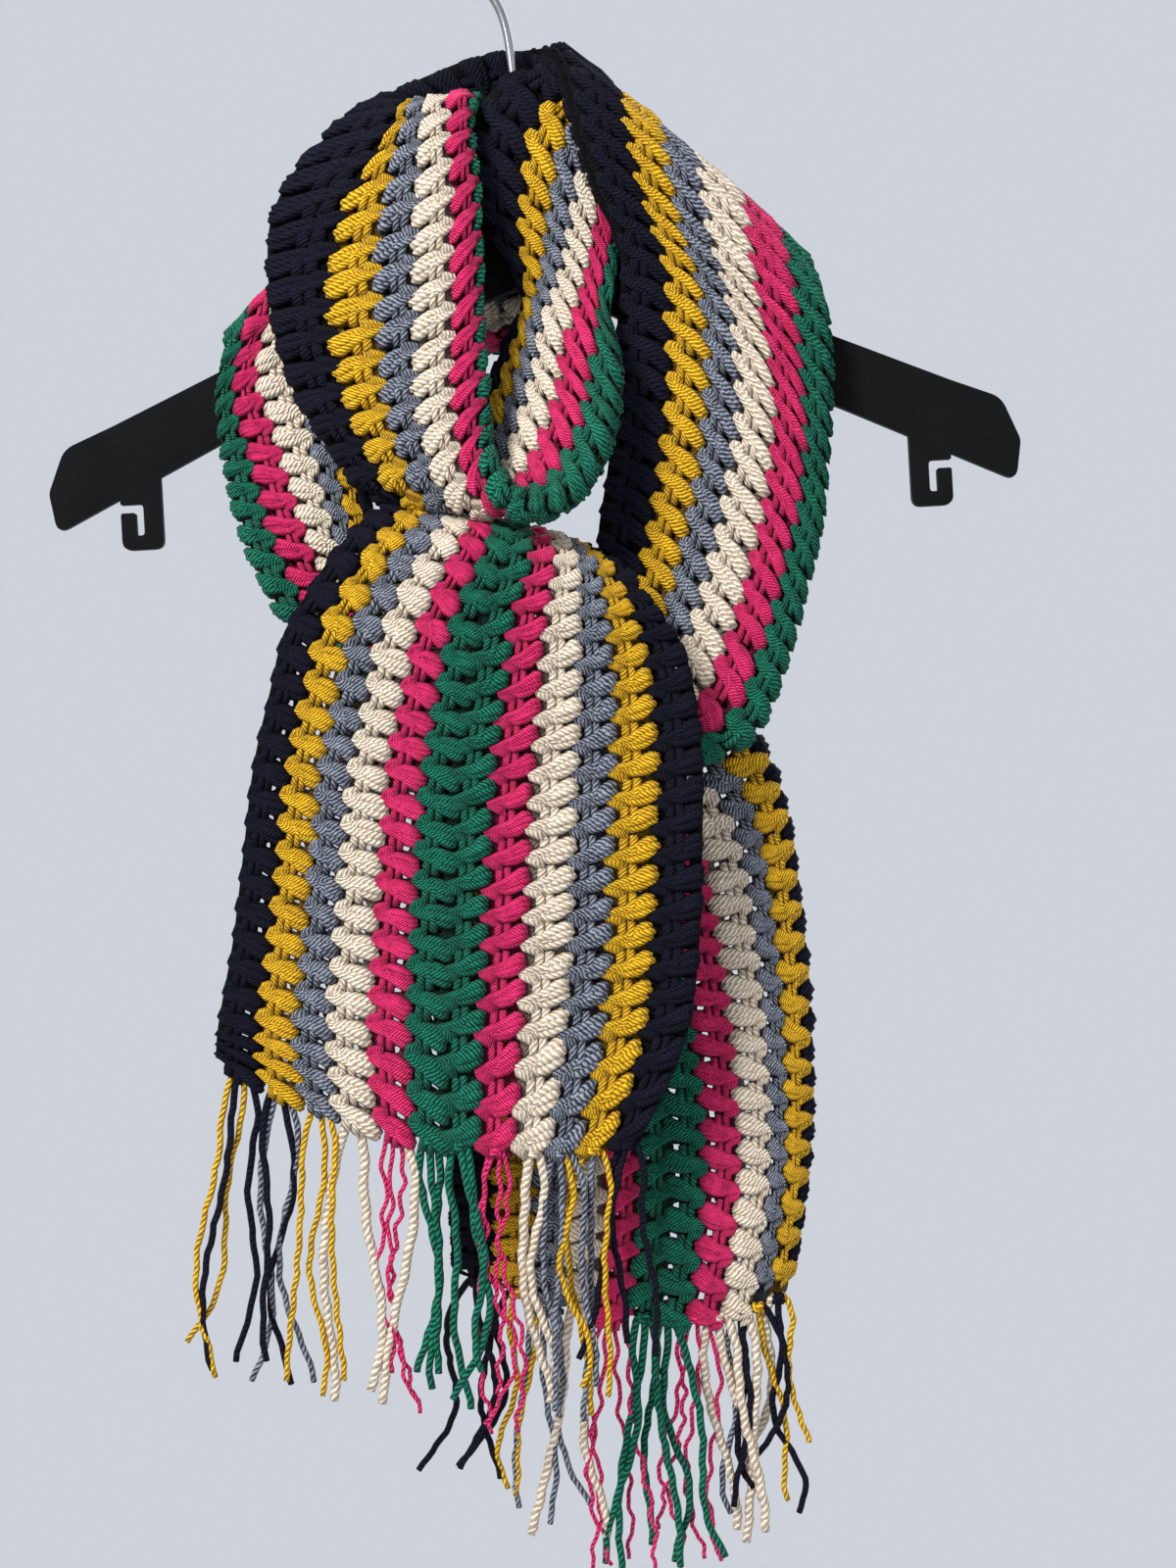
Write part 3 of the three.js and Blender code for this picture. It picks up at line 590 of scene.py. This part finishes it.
class Paint:
    """A material whose nodes are added one call at a time."""

    def __init__(self, name):
        self.material = bpy.data.materials.new(name)
        self.material.use_nodes = True
        self.tree = self.material.node_tree
        self.tree.nodes.clear()

    def node(self, kind, settings=None, *inputs, output=0, **named):
        """Adds a node: its settings first, then values or links for its inputs."""
        node = self.tree.nodes.new(kind)
        for key, value in (settings or {}).items():
            setattr(node, key, value)
        for key, value in (*enumerate(inputs), *named.items()):
            self.plug(node.inputs[key.replace("_", " ") if isinstance(key, str) else key], value)
        return Value(self, node.outputs[output]) if node.outputs else None

    def plug(self, socket, value):
        if isinstance(value, Value):
            self.tree.links.new(value.socket, socket)
        else:
            socket.default_value = value

    def mix(self, share, first, second):
        """One colour into another; a colour Mix node has its inputs at 0, 6 and 7, its output at 2."""
        node = self.tree.nodes.new("ShaderNodeMix")
        node.data_type = "RGBA"
        for number, value in ((0, share), (6, first), (7, second)):
            self.plug(node.inputs[number], value)
        return Value(self, node.outputs[2])

    def place(self):
        """Where a point is on its own piece."""
        return self.node("ShaderNodeTexCoord", None, output=3)

    def noise(self, place, scale, detail, **named):
        return self.node("ShaderNodeTexNoise", None, Vector=place, Scale=scale, Detail=detail, **named)

    def finish(self, **inputs):
        shader = self.node("ShaderNodeBsdfPrincipled", None, **inputs)
        self.node("ShaderNodeOutputMaterial", None, Surface=shader)
        return self.material


def colour(red, green, blue):
    return (red, green, blue, 1.0)


STRAY = 5.0              # radians by which a ply wanders from its helix
DEEP_SHADE = 0.16              # painted shade: how much of the dark colour is left deep between the stitches


def yarn_finish(yarn, dark, light, lay, fleck=0.0, rough=0.85, sheen=0.04):
    """Plied yarn: helical plies round each strand, fine fibres along them, painted shade low in the
    cloth.

    `lay` is the length of one turn of the twist, and `fleck` how much more the fine fibres and the
    patches vary the colour.
    """
    paint = Paint(yarn + "_yarn")
    plies = ROWS[YARNS.index(yarn)]["plies"]
    coords = paint.node("ShaderNodeUVMap", {"uv_map": "yarn"})
    split = paint.node("ShaderNodeSeparateXYZ", None, coords).socket.node
    turn, along = Value(paint, split.outputs[0]), Value(paint, split.outputs[1])
    helix = turn * (2 * math.pi * plies) + along * (2 * math.pi * plies / lay)
    place = paint.place()
    stray = paint.noise(place, 320.0, 2.0)
    ply = (((helix + stray * STRAY).sine() + 1) * 0.5) ** 1.3
    patches = paint.noise(place, 210.0, 3.0)
    fibres = paint.noise(place, 1100.0, 3.0, Roughness=0.7)
    painted_shade_openness = paint.node("ShaderNodeAttribute", {"attribute_name": "painted_shade_openness"}, output=2)
    # painted light on each ply's crest and painted shade in the grooves between the plies
    # lightest where a ply stands up and the fibres and patches are pale, half way where all three are
    # middling
    share = ply * 1.1 + fibres * (0.6 + fleck) + patches * (0.8 + fleck) - 0.72 - fleck
    # painted shade: the lower a point lies in the cloth, the nearer its colour comes to the deep shade
    shade = painted_shade_openness * painted_shade_openness * 0.5 + painted_shade_openness * 0.5 + 0.08
    tint = paint.mix(share, dark, light)
    tint = paint.mix(shade, colour(*(DEEP_SHADE * part for part in dark[:3])), tint)
    height = ply * 0.8 + fibres * 0.5
    bump = paint.node("ShaderNodeBump", None, Strength=0.8, Distance=0.001, Height=height)
    return paint.finish(
        Base_Color=tint, Roughness=rough, Normal=bump, Sheen_Weight=sheen, Sheen_Roughness=0.5,
        Specular_IOR_Level=0.15,
    )


# each yarn's darkest and lightest colour: the painted light and shade of the plies span them, and the
# darkest also gives the painted shade deep in the cloth
FINISHES = [
    yarn_finish("navy", colour(0.0012, 0.0012, 0.004), colour(0.0055, 0.0055, 0.019), 9, sheen=0.0),
    yarn_finish("gold", colour(0.26, 0.115, 0.001), colour(0.98, 0.58, 0.015), 9, rough=0.6),
    yarn_finish("grey", colour(0.022, 0.026, 0.037), colour(0.30, 0.325, 0.385), 9, fleck=0.4),
    yarn_finish("cream", colour(0.42, 0.33, 0.23), colour(0.90, 0.78, 0.63), 10),
    yarn_finish("pink", colour(0.30, 0.0, 0.035), colour(1.0, 0.04, 0.21), 8, fleck=0.4, rough=0.55),
    yarn_finish("green", colour(0.0, 0.024, 0.015), colour(0.006, 0.21, 0.12), 9, fleck=0.1),
]


def flock_finish():
    """Short black nap on the hanger, rubbed paler in patches."""
    paint = Paint("flock")
    place = paint.place()
    nap = paint.noise(place, 2600.0, 2.0)
    worn = paint.noise(place, 30.0, 3.0)
    dark, rubbed = colour(0.0012, 0.0012, 0.0014), colour(0.0055, 0.0055, 0.0065)
    tint = paint.mix(worn * 0.7 + nap * 0.4 - 0.2, dark, rubbed)
    bump = paint.node("ShaderNodeBump", None, Strength=0.5, Distance=0.0003, Height=nap)
    return paint.finish(
        Base_Color=tint, Roughness=0.95, Normal=bump, Sheen_Weight=0.06, Sheen_Roughness=0.4,
        Specular_IOR_Level=0.15,
    )


def wire_finish():
    """Drawn steel, dulled in patches."""
    paint = Paint("wire")
    place = paint.place()
    drawn = paint.noise(place, 900.0, 3.0)
    dull = paint.noise(place, 60.0, 2.0)
    tint = paint.mix(dull, colour(0.20, 0.205, 0.21), colour(0.40, 0.40, 0.41))
    bump = paint.node("ShaderNodeBump", None, Strength=0.12, Distance=0.0002, Height=drawn)
    return paint.finish(Base_Color=tint, Roughness=drawn * 0.2 + 0.2, Metallic=1.0, Normal=bump)


# ---- the cloth, stretch by stretch --------------------------------------------------------------
STRETCHES = [
    ("left_wrap", LEFT_WRAP), ("neck_back_inner", NECK_BACK_INNER), ("neck_loop_right", LOOP_RIGHT),
    ("neck_loop_left", LOOP_LEFT), ("neck_back_outer", NECK_BACK_OUTER), ("right_wrap", RIGHT_WRAP),
    ("knot_wrap", KNOT),
]
strip = Cloth(
    [section for _, sections in STRETCHES for section in sections],
    folded=True, fold=FOLD_SHIFT, bunch=BUNCH, edge=EDGE,
)
front_cloth = Cloth(FRONT_PANEL, folded=False)
back_cloth = Cloth(BACK_PANEL, folded=False, rolled=True)

# Each stretch's cloth, and where on it the stretch starts and stops
runs = {}
first = 0
for name, sections in STRETCHES:
    last = min(first + len(sections), int(strip.knots[-1]))
    runs[name] = (strip, strip.length_at(first), strip.length_at(last))
    first = last
runs["front_panel"] = (front_cloth, 0, front_cloth.length)
runs["back_panel"] = (back_cloth, 0, back_cloth.length)
grounds = {name: ground(name + "_ground", *run) for name, run in runs.items()}
stitches = {name: crochet(name + "_stitches", *run) for name, run in runs.items()}

for name in runs:
    for piece in (grounds[name], stitches[name]):
        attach(piece, "root")
        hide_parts(name)

# ---- fringe -------------------------------------------------------------------------------------
# Ends of each row from the first navy edge to the last: how many, how long, how far they lean
FRONT_FRINGE = [
    (4, 134, -9), (4, 132, -3), (3, 136, -10), (2, 132, 0), (4, 124, 2), (3, 120, 4),
    (3, 114, 8), (4, 122, 6), (2, 126, 0), (4, 118, 6), (3, 120, -4), (3, 92, -8),
]
BACK_FRINGE = [
    (3, 88, -4), (3, 90, -2), (3, 104, 2), (2, 108, 0), (4, 118, -2), (3, 116, -4),
    (3, 112, 14), (4, 112, -6), (3, 108, 10), (3, 96, 2), (3, 92, 2), (3, 76, -8),
]
# Bunches with ends of other rows in them, by row, from left to right
FRONT_MIX = {
    0: ("gold", "navy", "gold", "navy"),
    1: ("navy", "grey", "navy", "grey"),
    2: ("gold", "gold", "gold"),
    4: ("pink", "pink", "pink", "cream"),
    9: ("grey", "grey", "gold", "grey"),
    10: ("gold", "grey", "gold"),
}
BACK_MIX = {
    1: ("navy", "gold", "gold"),
    9: ("grey", "navy", "cream"),
    10: ("navy", "gold", "navy"),
    11: ("cream", "navy", "gold"),
}
LOOSE_PLIES = 3          # a loose end shows its three plies, wound as wide as itself
CRIMPED, SMOOTH = 1.1, 0.4    # how far a loose end kinks: pink yarn, and the others
BUNCH_WIDTH = 4.5        # of a bunch where it leaves the hem
KNOT_RADIUS = 1.7
# Least and most of what a loose end does: the share of its length, its sway in millimetres and in
# turns, its kinks from root to tip, and how far it swings to the front or back
LOOSE = {
    "reach": (0.88, 1.06), "sway": (2.5, 8), "turns": (0.6, 1.5), "kinks": (5, 9), "swing": (1.6, 4.0),
}


def fringe(name, cloth, table, mix):
    """Loose ends knotted in bunches to an open end's hem, each waving and curling its own way."""
    heap = Heap()
    for number, (strands, length, lean) in enumerate(table):
        row = ALL_ROWS[number]
        middle = (SEAMS[number] + row["width"] * rng.uniform(0.4, 0.6)) / FULL
        hem = cloth.point(np.array([cloth.length - 1.5]), np.array([middle]))[0]
        for i in range(strands):
            yarn = ROWS[YARNS.index(mix[number][i])] if number in mix else row
            crimp, steps = (CRIMPED, 60) if yarn["yarn"] == "pink" else (SMOOTH, 32)
            place = (i + 0.5) / strands - 0.5
            root = hem + (place * BUNCH_WIDTH, 0, 0)
            reach = length * rng.uniform(*LOOSE["reach"])
            sway, turns = rng.uniform(*LOOSE["sway"]), rng.uniform(*LOOSE["turns"])
            phase = rng.uniform(0, 6.3)
            kinks = rng.uniform(*LOOSE["kinks"])
            spread = place * row["width"] + rng.normal(0, 1)
            drift, curl = lean + rng.normal(0, 5), rng.normal(0, 6)
            depth = rng.choice([-1, 1]) * rng.uniform(*LOOSE["swing"])
            path = []
            for t in np.linspace(0, 1, steps):
                swing = sway * (math.sin(2 * math.pi * turns * t + phase) - math.sin(phase)) * t**0.7
                kink = crimp * min(1, 4 * t) * (
                    math.sin(2 * math.pi * kinks * t + 2 * phase) + 0.3 * math.sin(13 * kinks * t**1.3)
                )
                path.append((
                    root[0] + spread * min(1, 6 * t) ** 0.6 + drift * t + swing + kink + curl * t**4,
                    root[1] + depth * min(1, 3 * t) + 0.7 * kink,
                    root[2] - reach * t,
                    yarn["end"] * (1 - 0.1 * t),
                ))
            points, faces, coords = strand(path, 6, up=(0, 1, 0))
            twist = np.array(coords) * LOOSE_PLIES / yarn["plies"]
            heap.add(to_part(points), faces, twist, yarn["yarn"])
        for turn in (-1, 1):    # two turns of yarn cross in front of the hem
            knot = [
                (hem[0] + 4.0 * (share - 0.5), hem[1] - 2.6 * math.sin(math.pi * share),
                 hem[2] - 2.0 + turn * (2.8 * share - 1.4), KNOT_RADIUS)
                for share in (0, 0.25, 0.5, 0.75, 1)
            ]
            points, faces, coords = strand(knot, 6)
            heap.add(to_part(points), faces, np.array(coords) * LOOSE_PLIES / row["plies"], row["yarn"])
    return heap.mesh(name, FINISHES)


fringes = {
    "fringe_front": fringe("fringe_front_yarn", front_cloth, FRONT_FRINGE, FRONT_MIX),
    "fringe_back": fringe("fringe_back_yarn", back_cloth, BACK_FRINGE, BACK_MIX),
}
for (name, piece), slot in zip(fringes.items(), ("green_yarn", "navy_yarn")):
    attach(piece, "root")
    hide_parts(name)

# The width of the flat cut that each stretch shows, where the open work draws in round the neck, worked
# out and not kept
for name, (_, start, stop) in runs.items():
    (stop - start) / 1000

# ---- hanger -------------------------------------------------------------------------------------
# One shoulder in the hanger's own plane, from the peak: x outwards, z up, radius of the corner
SHOULDER = [
    (0, -1, 0), (12, -5, 8), (193, -84.7, 40), (216, -94, 12), (224, -114, 8), (221, -132.5, 4),
    # the strap tab, with its slot open to the outside
    (191.5, -118.3, 0.5), (191.5, -121, 0.5), (181, -121, 2.5), (181, -135.5, 1.5),
    (184.8, -135.5, 1.2), (184.8, -125, 1), (191.5, -125, 1.2), (191.5, -142, 4.5),
    (172.5, -142, 4.5), (172.5, -109.2, 0.5),
    # back along the underside
    (145, -96, 20), (70, -61, 30), (24, -39, 14), (0, -30, 0),
]
CORNER_POINTS = 7
EDGE_RADIUS = 1.3
WIRE_POINTS, WIRE_SIDES = 160, 20


def rounded(corners):
    """An outline with each corner replaced by an arc of its radius."""
    outline = []
    for (ax, az, _), (x, z, radius), (bx, bz, _) in zip(corners, corners[1:], corners[2:]):
        corner = np.array([x, z])
        back, on = unit(np.array([ax - x, az - z])), unit(np.array([bx - x, bz - z]))
        half_angle = math.acos(np.clip(back @ on, -1, 1)) / 2
        room = 0.48 * min(math.hypot(ax - x, az - z), math.hypot(bx - x, bz - z))
        cut = min(radius / max(math.tan(half_angle), 1e-3), room)
        first, last = corner + back * cut, corner + on * cut
        for t in np.linspace(0, 1, CORNER_POINTS):
            outline.append(first * (1 - t) ** 2 + corner * 2 * t * (1 - t) + last * t**2)
    return outline


def hanger_body():
    """One shoulder and its mirror image as a flat outline, given its thickness and soft edges."""
    top, bottom = (np.array(corner[:2], float) for corner in (SHOULDER[0], SHOULDER[-1]))
    right = [top, *rounded(SHOULDER), bottom]
    outline = right + [point * (-1, 1) for point in right[-2:0:-1]]
    mesh = bpy.data.meshes.new("hanger_flock")
    front = [(x / 1000, -HANGER_THICKNESS / 2000, z / 1000) for x, z in outline]
    mesh.from_pydata(front, [], [tuple(range(len(front)))])
    piece = bpy.data.objects.new("hanger_flock", mesh)
    bpy.context.scene.collection.objects.link(piece)
    bpy.ops.object.select_all(action="DESELECT")
    piece.select_set(True)
    bpy.context.view_layer.objects.active = piece
    bpy.ops.object.mode_set(mode="EDIT")
    bpy.ops.mesh.select_all(action="SELECT")
    bpy.ops.mesh.extrude_region_move(TRANSFORM_OT_translate={"value": (0, HANGER_THICKNESS / 1000, 0)})
    bpy.ops.mesh.select_all(action="SELECT")
    bpy.ops.mesh.normals_make_consistent(inside=False)
    bpy.ops.object.mode_set(mode="OBJECT")
    soft = piece.modifiers.new("edge", "BEVEL")
    soft.width, soft.segments = EDGE_RADIUS / 1000, 3
    soft.limit_method, soft.angle_limit = "ANGLE", math.radians(50)
    bpy.ops.object.modifier_apply(modifier=soft.name)
    piece.rotation_euler = (0, -math.radians(HANGER_TILT), 0)
    piece.location = (PEAK_X / 1000, 0, -HOOK_RISE / 1000)
    bpy.ops.object.transform_apply(location=True, rotation=True, scale=True)
    bpy.ops.object.shade_smooth_by_angle(angle=math.radians(40))
    piece.data.materials.append(flock_finish())
    return piece


def hook_wire():
    """The wire: up from the peak leaning to the left, then over to the right in a round crook."""
    stem = [(4.3, 4.0), (3, 30), (0.8, 66), (-5, 96)]
    centre = HOOK_RISE - HOOK_RADIUS + WIRE_RADIUS
    turns = [math.radians(turn) for turn in range(195, -46, -20)]
    bend = [(HOOK_RADIUS * math.cos(turn), centre + HOOK_RADIUS * math.sin(turn)) for turn in turns]
    spots = np.array([(x, 0, z) for x, z in stem + bend])
    middle = rail(spots, np.linspace(0, len(spots) - 1, WIRE_POINTS))
    radii = np.full(len(middle), float(WIRE_RADIUS))
    radii[[0, -1]] = WIRE_RADIUS * 0.8    # its cut ends are dressed
    points, faces, coords = strand(np.column_stack([middle, radii]), WIRE_SIDES, up=(0, 1, 0))
    heap = Heap()
    heap.add(to_part(points), faces, coords, "navy")
    return heap.mesh("hook_wire", [wire_finish()])


HANGER = (("hanger_body", hanger_body(), "flock"), ("hanger_hook", hook_wire(), "wire"))
for node, piece, slot in HANGER:
    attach(piece, "root")
    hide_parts(node)

# ---- camera, floor and light --------------------------------------------------------------------
CAMERA_DISTANCE = 1150.0
CAMERA_AIM = (35.3, -259.9)    # across and up, from the hanger's peak
HALF_VIEW = 361.6        # half the height that shows at the hanger
SENSOR = 24

centre = np.array([CAMERA_AIM[0], -CAMERA_DISTANCE, CAMERA_AIM[1] - HOOK_RISE]) / 1000
bpy.ops.object.select_all(action="DESELECT")
bpy.ops.object.camera_add(location=tuple(centre), rotation=(math.radians(90), 0, 0))
camera = bpy.context.object
camera.data.sensor_fit = "VERTICAL"
camera.data.sensor_height = SENSOR
camera.data.lens = SENSOR / 2 / (HALF_VIEW / CAMERA_DISTANCE)
camera.data.clip_end = 50
bpy.context.scene.camera = camera
bpy.context.scene.view_settings.view_transform = "Standard"

FLOOR_RADIUS, FLOOR_HEIGHT = 2.1, -1.75    # in metres
bpy.ops.mesh.primitive_circle_add(
    vertices=64, radius=FLOOR_RADIUS, fill_type="NGON", location=(0, 0, FLOOR_HEIGHT)
)
floor = bpy.context.object
floor.name = "floor"
floor_paint = Paint("floor")
floor.data.materials.append(floor_paint.finish(Base_Color=colour(0.78, 0.78, 0.8), Roughness=0.8))

world = bpy.data.worlds.new("studio")
bpy.context.scene.world = world
world.use_nodes = True
backdrop = world.node_tree.nodes["Background"]
backdrop.inputs["Color"].default_value = colour(0.76, 0.80, 0.88)
backdrop.inputs["Strength"].default_value = 0.8

SCARF_MIDDLE = (0.0, 0.0, -0.35)    # what the lamps are turned to, in metres


def lamp(name, place, power, size):
    """A square lamp turned to the middle of the scarf."""
    bpy.ops.object.light_add(type="AREA", location=place)
    light = bpy.context.object
    light.name = name
    light.data.energy = power
    light.data.size = size
    way = np.array(SCARF_MIDDLE) - np.array(place)
    flat = math.hypot(way[0], way[1])
    light.rotation_euler = (math.atan2(flat, -way[2]), 0, math.atan2(way[1], way[0]) - math.pi / 2)


lamp("key", (-1.2, -1.5, 0.95), 74, 0.7)
lamp("fill", (1.7, -1.5, 0.1), 8, 1.4)
lamp("rear", (0.8, 1.6, 0.8), 12, 1.2)
